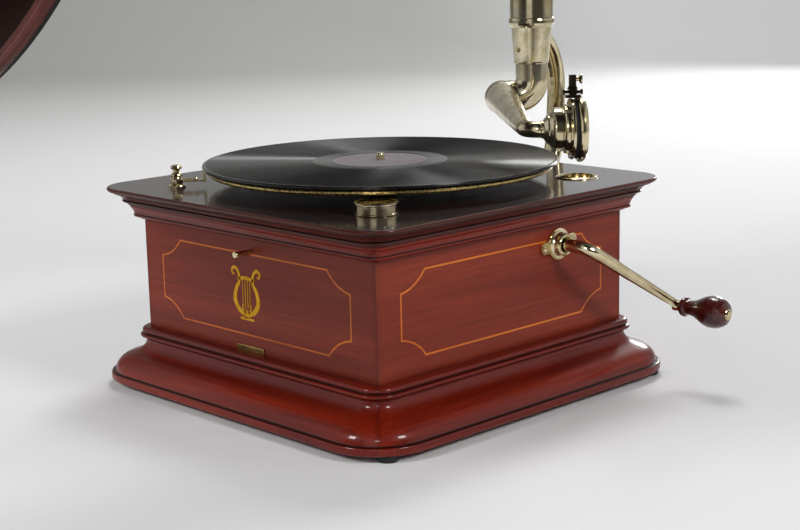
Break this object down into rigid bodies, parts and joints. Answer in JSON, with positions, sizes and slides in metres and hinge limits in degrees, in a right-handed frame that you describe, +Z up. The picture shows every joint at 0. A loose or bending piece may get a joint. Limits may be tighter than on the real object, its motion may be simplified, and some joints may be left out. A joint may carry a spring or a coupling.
{
  "type": "horn gramophone",
  "caption": "Square wooden table gramophone with a moulded base and deck, felted turntable, side crank, jointed tone arm with sound box and a flared wooden horn.",
  "frame": {"origin": "on the floor plane under the feet, straight below the turntable spindle", "axes": "+Z up along the spindle, -Y to the front where the horn points, +X to the side with the crank"},
  "size_m": [0.4961, 0.6787, 0.7478],
  "materials": {
    "body_wood": "polished mahogany",
    "base_wood": "polished red mahogany",
    "band_wood": "polished red mahogany",
    "deck_wood": "dark polished wood",
    "horn_wood": "polished mahogany veneer",
    "rim_wood": "polished red mahogany",
    "knob_wood": "dark polished wood",
    "board_wood": "bare pine",
    "stringing": "inlaid satinwood line",
    "nickel": "aged nickel plate",
    "brass": "brushed brass",
    "gilt_rim": "gold stove enamel",
    "steel": "bright steel",
    "spring_steel": "blued spring steel",
    "motor_iron": "grey enamel",
    "rubber": "black rubber",
    "felt": "dark felt",
    "shellac": "pressed black shellac",
    "mica": "mica sheet"
  },
  "bodies": {
    "case": {"feet": "rubber", "plinth": "base_wood", "bottom_board": "board_wood", "case_front": "body_wood", "case_back": "body_wood", "case_left": "body_wood", "case_right": "body_wood", "inlay": "stringing", "name_plate": "nickel", "case_band": "band_wood", "deck": "deck_wood", "motor_bolts": "steel", "motor_bushes": "rubber", "motor_top_plate": "motor_iron", "motor_bottom_plate": "motor_iron", "pillars": "steel", "winding_bearing": "motor_iron", "escutcheon": "nickel", "escutcheon_screws": "steel", "brake_post": "nickel", "needle_cup": "nickel", "open_cup": "nickel", "bracket": "nickel", "bracket_screws": "steel"},
    "turntable": {"spindle": "nickel", "spindle_wheel": "brass", "platter": "gilt_rim", "felt": "felt"},
    "disc": {"record": "shellac"},
    "barrel": {"spring_barrel": "brass", "barrel_cover": "brass", "mainspring": "spring_steel"},
    "intermediate": {"intermediate_wheel": "brass"},
    "governor": {"governor_shaft": "steel", "governor_disc": "brass", "governor_springs": "spring_steel", "governor_weights": "brass"},
    "winder": {"winding_wheel": "brass"},
    "crank_body": {"crank": "nickel", "winding_pinion": "steel"},
    "handle": {"knob": "knob_wood", "knob_washer": "nickel"},
    "regulator": {"regulator_rod": "steel"},
    "brake": {"brake_lever": "nickel"},
    "lid": {"cup_lid": "nickel"},
    "arm_root": {"pivot_elbow": "nickel", "swivel_screw": "steel"},
    "arm": {"tone_arm": "nickel"},
    "sound_box": {"soundbox_back": "nickel", "gaskets": "rubber", "diaphragm": "mica", "front_ring": "nickel", "ring_screws": "steel", "stylus_bar": "nickel"},
    "thumb_screw": {"needle_screw": "nickel"},
    "horn": {"horn_elbow": "nickel", "horn_bell": "horn_wood", "horn_rim": "rim_wood"}
  },
  "joints": [
    {"name": "turntable_spin", "type": "hinge", "parent": "case", "child": "turntable", "pos_m": [0, 0, 0.18], "axis": [0, 0, 1], "continuous": true},
    {"name": "record_lift", "type": "slide", "parent": "turntable", "child": "disc", "axis": [0, 0, 1], "range_m": [0, 0.008]},
    {"name": "barrel_spin", "type": "hinge", "parent": "case", "child": "barrel", "pos_m": [0.03, 0.0605, 0.08], "axis": [0, 0, 1], "continuous": true},
    {"name": "intermediate_spin", "type": "hinge", "parent": "case", "child": "intermediate", "pos_m": [0.03715, 0.00698, 0.08], "axis": [0, 0, 1], "continuous": true},
    {"name": "governor_spin", "type": "hinge", "parent": "case", "child": "governor", "pos_m": [0, -0.036, 0.08], "axis": [0, 0, 1], "continuous": true},
    {"name": "crank_turn", "type": "hinge", "parent": "case", "child": "crank_body", "pos_m": [0.15, 0.0605, 0.126], "axis": [1, 0, 0], "continuous": true},
    {"name": "winder_spin", "type": "hinge", "parent": "case", "child": "winder", "pos_m": [0.03, 0.0605, 0.1], "axis": [0, 0, 1], "continuous": true},
    {"name": "knob_spin", "type": "hinge", "parent": "crank_body", "child": "handle", "pos_m": [0.20161, 0.15401, 0.06527], "axis": [1, 0, 0], "continuous": true},
    {"name": "regulator_slide", "type": "slide", "parent": "case", "child": "regulator", "axis": [0, -1, 0], "range_m": [0, 0.006]},
    {"name": "brake_turn", "type": "hinge", "parent": "case", "child": "brake", "pos_m": [-0.11105, -0.13095, 0.18], "axis": [0, 0, 1], "range_deg": [0, 40]},
    {"name": "cup_lid_lift", "type": "slide", "parent": "case", "child": "lid", "axis": [0, 0, 1], "range_m": [0, 0.0045]},
    {"name": "arm_swing", "type": "hinge", "parent": "case", "child": "arm_root", "pos_m": [0, 0.194, 0.25], "axis": [0, 0, 1], "range_deg": [-40, 12]},
    {"name": "arm_lift", "type": "hinge", "parent": "arm_root", "child": "arm", "pos_m": [-0.01863, 0.17309, 0.226], "axis": [-0.6652, -0.7466, 0], "range_deg": [0, 30]},
    {"name": "sound_box_turn", "type": "hinge", "parent": "arm", "child": "sound_box", "pos_m": [0.11712, 0.05215, 0.21774], "axis": [0.6652, 0.7466, 0], "range_deg": [0, 150]},
    {"name": "needle_screw_turn", "type": "hinge", "parent": "sound_box", "child": "thumb_screw", "pos_m": [0.14267, 0.08082, 0.25814], "axis": [0.6652, 0.7466, 0], "range_deg": [0, 360]},
    {"name": "horn_swivel", "type": "hinge", "parent": "case", "child": "horn", "pos_m": [0, 0.194, 0.3], "axis": [0, 0, 1], "range_deg": [-60, 60]}
  ],
  "couplings": [
    {"joint": "barrel_spin", "follows": "turntable_spin", "ratio": 0.020833},
    {"joint": "intermediate_spin", "follows": "turntable_spin", "ratio": -0.16667},
    {"joint": "governor_spin", "follows": "turntable_spin", "ratio": -8},
    {"joint": "winder_spin", "follows": "crank_turn", "ratio": 0.33333}
  ]
}
